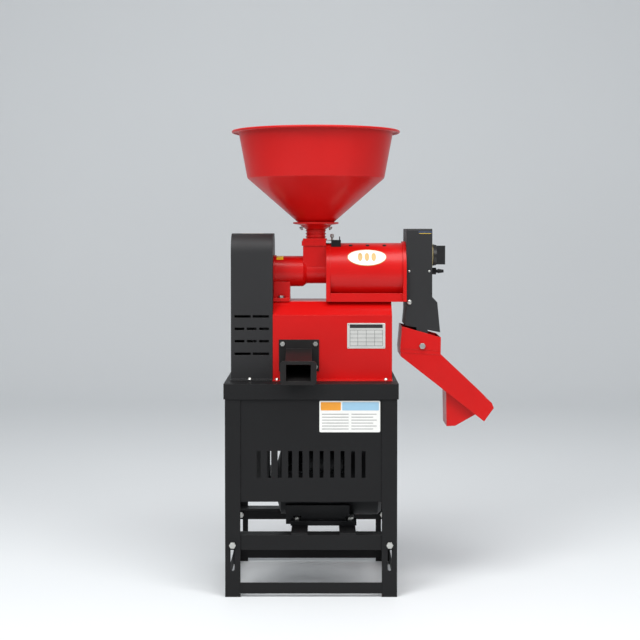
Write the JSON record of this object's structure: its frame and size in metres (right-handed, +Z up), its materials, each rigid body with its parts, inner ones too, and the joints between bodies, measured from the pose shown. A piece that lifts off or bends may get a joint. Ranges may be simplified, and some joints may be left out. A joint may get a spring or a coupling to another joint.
{
  "type": "rice huller",
  "caption": "Small belt-driven rice huller on a sheet-steel stand, with a round hopper, milling chamber, discharge head with tilting chute, bran fan and motor",
  "frame": {"origin": "centre of the stand's footprint on the floor", "axes": "+X towards the discharge head along the main shaft, +Y to the rear, +Z up"},
  "size_m": [0.6905, 0.54, 1.0783],
  "materials": {
    "frame_paint": "dark grey enamel, satin",
    "guard_paint": "dark grey enamel, satin",
    "red_paint": "red enamel, gloss",
    "black_paint": "black enamel, satin",
    "motor_paint": "dark grey enamel",
    "zinc": "zinc-plated",
    "steel": "bright steel",
    "cast": "turned cast iron",
    "belt_rubber": "matt",
    "black_plastic": "moulded",
    "plate_plastic": "moulded"
  },
  "bodies": {
    "root": {"belt_guard": "guard_paint", "bottom_rails": "frame_paint", "bran_box": "red_paint", "bran_outlet": "black_paint", "chamber_base": "red_paint", "chute_pivots": "zinc", "cover_screws": "zinc", "discharge_head": "guard_paint", "fan_bearings": "steel", "fan_belt": "belt_rubber", "fan_housing": "steel", "feed_housing": "red_paint", "front_panel": "frame_paint", "gate_guide": "black_plastic", "hopper": "red_paint", "hopper_bolts": "zinc", "husking_blade": "steel", "leg_front_left": "frame_paint", "leg_front_right": "frame_paint", "leg_rear_left": "frame_paint", "leg_rear_right": "frame_paint", "lock_nut": "zinc", "main_bearings": "steel", "milling_cover": "red_paint", "outlet_bolts": "zinc", "rice_screen": "steel", "stand_screws": "zinc", "switch_body": "plate_plastic", "throat": "red_paint", "top_plate": "frame_paint"},
    "main_rotor": {"main_shaft": "steel", "main_pulley": "cast", "feed_screw": "cast", "milling_roller": "cast", "roller_nut": "zinc"},
    "fan_rotor": {"fan_shaft": "steel", "fan_impeller": "cast", "fan_pulley": "cast"},
    "motor_carriage": {"crossbar_front": "frame_paint", "crossbar_rear": "frame_paint", "motor_rails": "frame_paint", "carriage_bolts": "zinc", "motor_foot_bolts": "zinc", "motor_housing": "motor_paint", "motor_end_shields": "motor_paint", "motor_fan_cowl": "motor_paint", "terminal_box": "motor_paint", "capacitor_covers": "motor_paint", "drive_belts": "belt_rubber"},
    "motor_rotor": {"motor_shaft": "steel", "motor_fan": "black_plastic", "motor_pulley": "cast"},
    "slide_gate": {"slide_gate": "zinc", "gate_knob": "zinc"},
    "chute": {"chute": "red_paint", "broken_rice_sieve": "steel"},
    "switch_knob": {"switch_knob": "black_plastic"},
    "pressure_screw": {"pressure_screw": "zinc"},
    "discharge_valve": {"discharge_valve": "cast", "valve_spring": "steel"}
  },
  "joints": [
    {"name": "main_spin", "type": "hinge", "parent": "root", "child": "main_rotor", "pos_m": [0, 0, 0.7425], "axis": [1, 0, 0], "continuous": true},
    {"name": "fan_spin", "type": "hinge", "parent": "root", "child": "fan_rotor", "pos_m": [0, 0, 0.593], "axis": [1, 0, 0], "continuous": true},
    {"name": "motor_tension", "type": "slide", "parent": "root", "child": "motor_carriage", "axis": [0, 0, 1], "range_m": [-0.05, 0], "deforming": ["drive_belts"]},
    {"name": "motor_spin", "type": "hinge", "parent": "motor_carriage", "child": "motor_rotor", "pos_m": [0, 0, 0.237], "axis": [1, 0, 0], "continuous": true},
    {"name": "gate_slide", "type": "slide", "parent": "root", "child": "slide_gate", "axis": [1, 0, 0], "range_m": [0, 0.045]},
    {"name": "chute_tilt", "type": "hinge", "parent": "root", "child": "chute", "pos_m": [0.2615, 0, 0.568], "axis": [0, 1, 0], "range_deg": [-4, 3]},
    {"name": "switch_turn", "type": "hinge", "parent": "root", "child": "switch_knob", "pos_m": [0.291, 0, 0.781], "axis": [1, 0, 0], "range_deg": [0, 90]},
    {"name": "pressure_turn", "type": "hinge", "parent": "root", "child": "pressure_screw", "pos_m": [0.285, 0, 0.7425], "axis": [1, 0, 0], "range_deg": [-180, 180]},
    {"name": "valve_slide", "type": "slide", "parent": "root", "child": "discharge_valve", "axis": [1, 0, 0], "range_m": [0, 0.008], "stiffness_N_per_m": 1500, "springref_m": -0.004, "deforming": ["valve_spring"]}
  ],
  "couplings": [
    {"joint": "fan_spin", "follows": "main_spin", "ratio": 2.0359},
    {"joint": "motor_spin", "follows": "main_spin", "ratio": 2.0125}
  ]
}
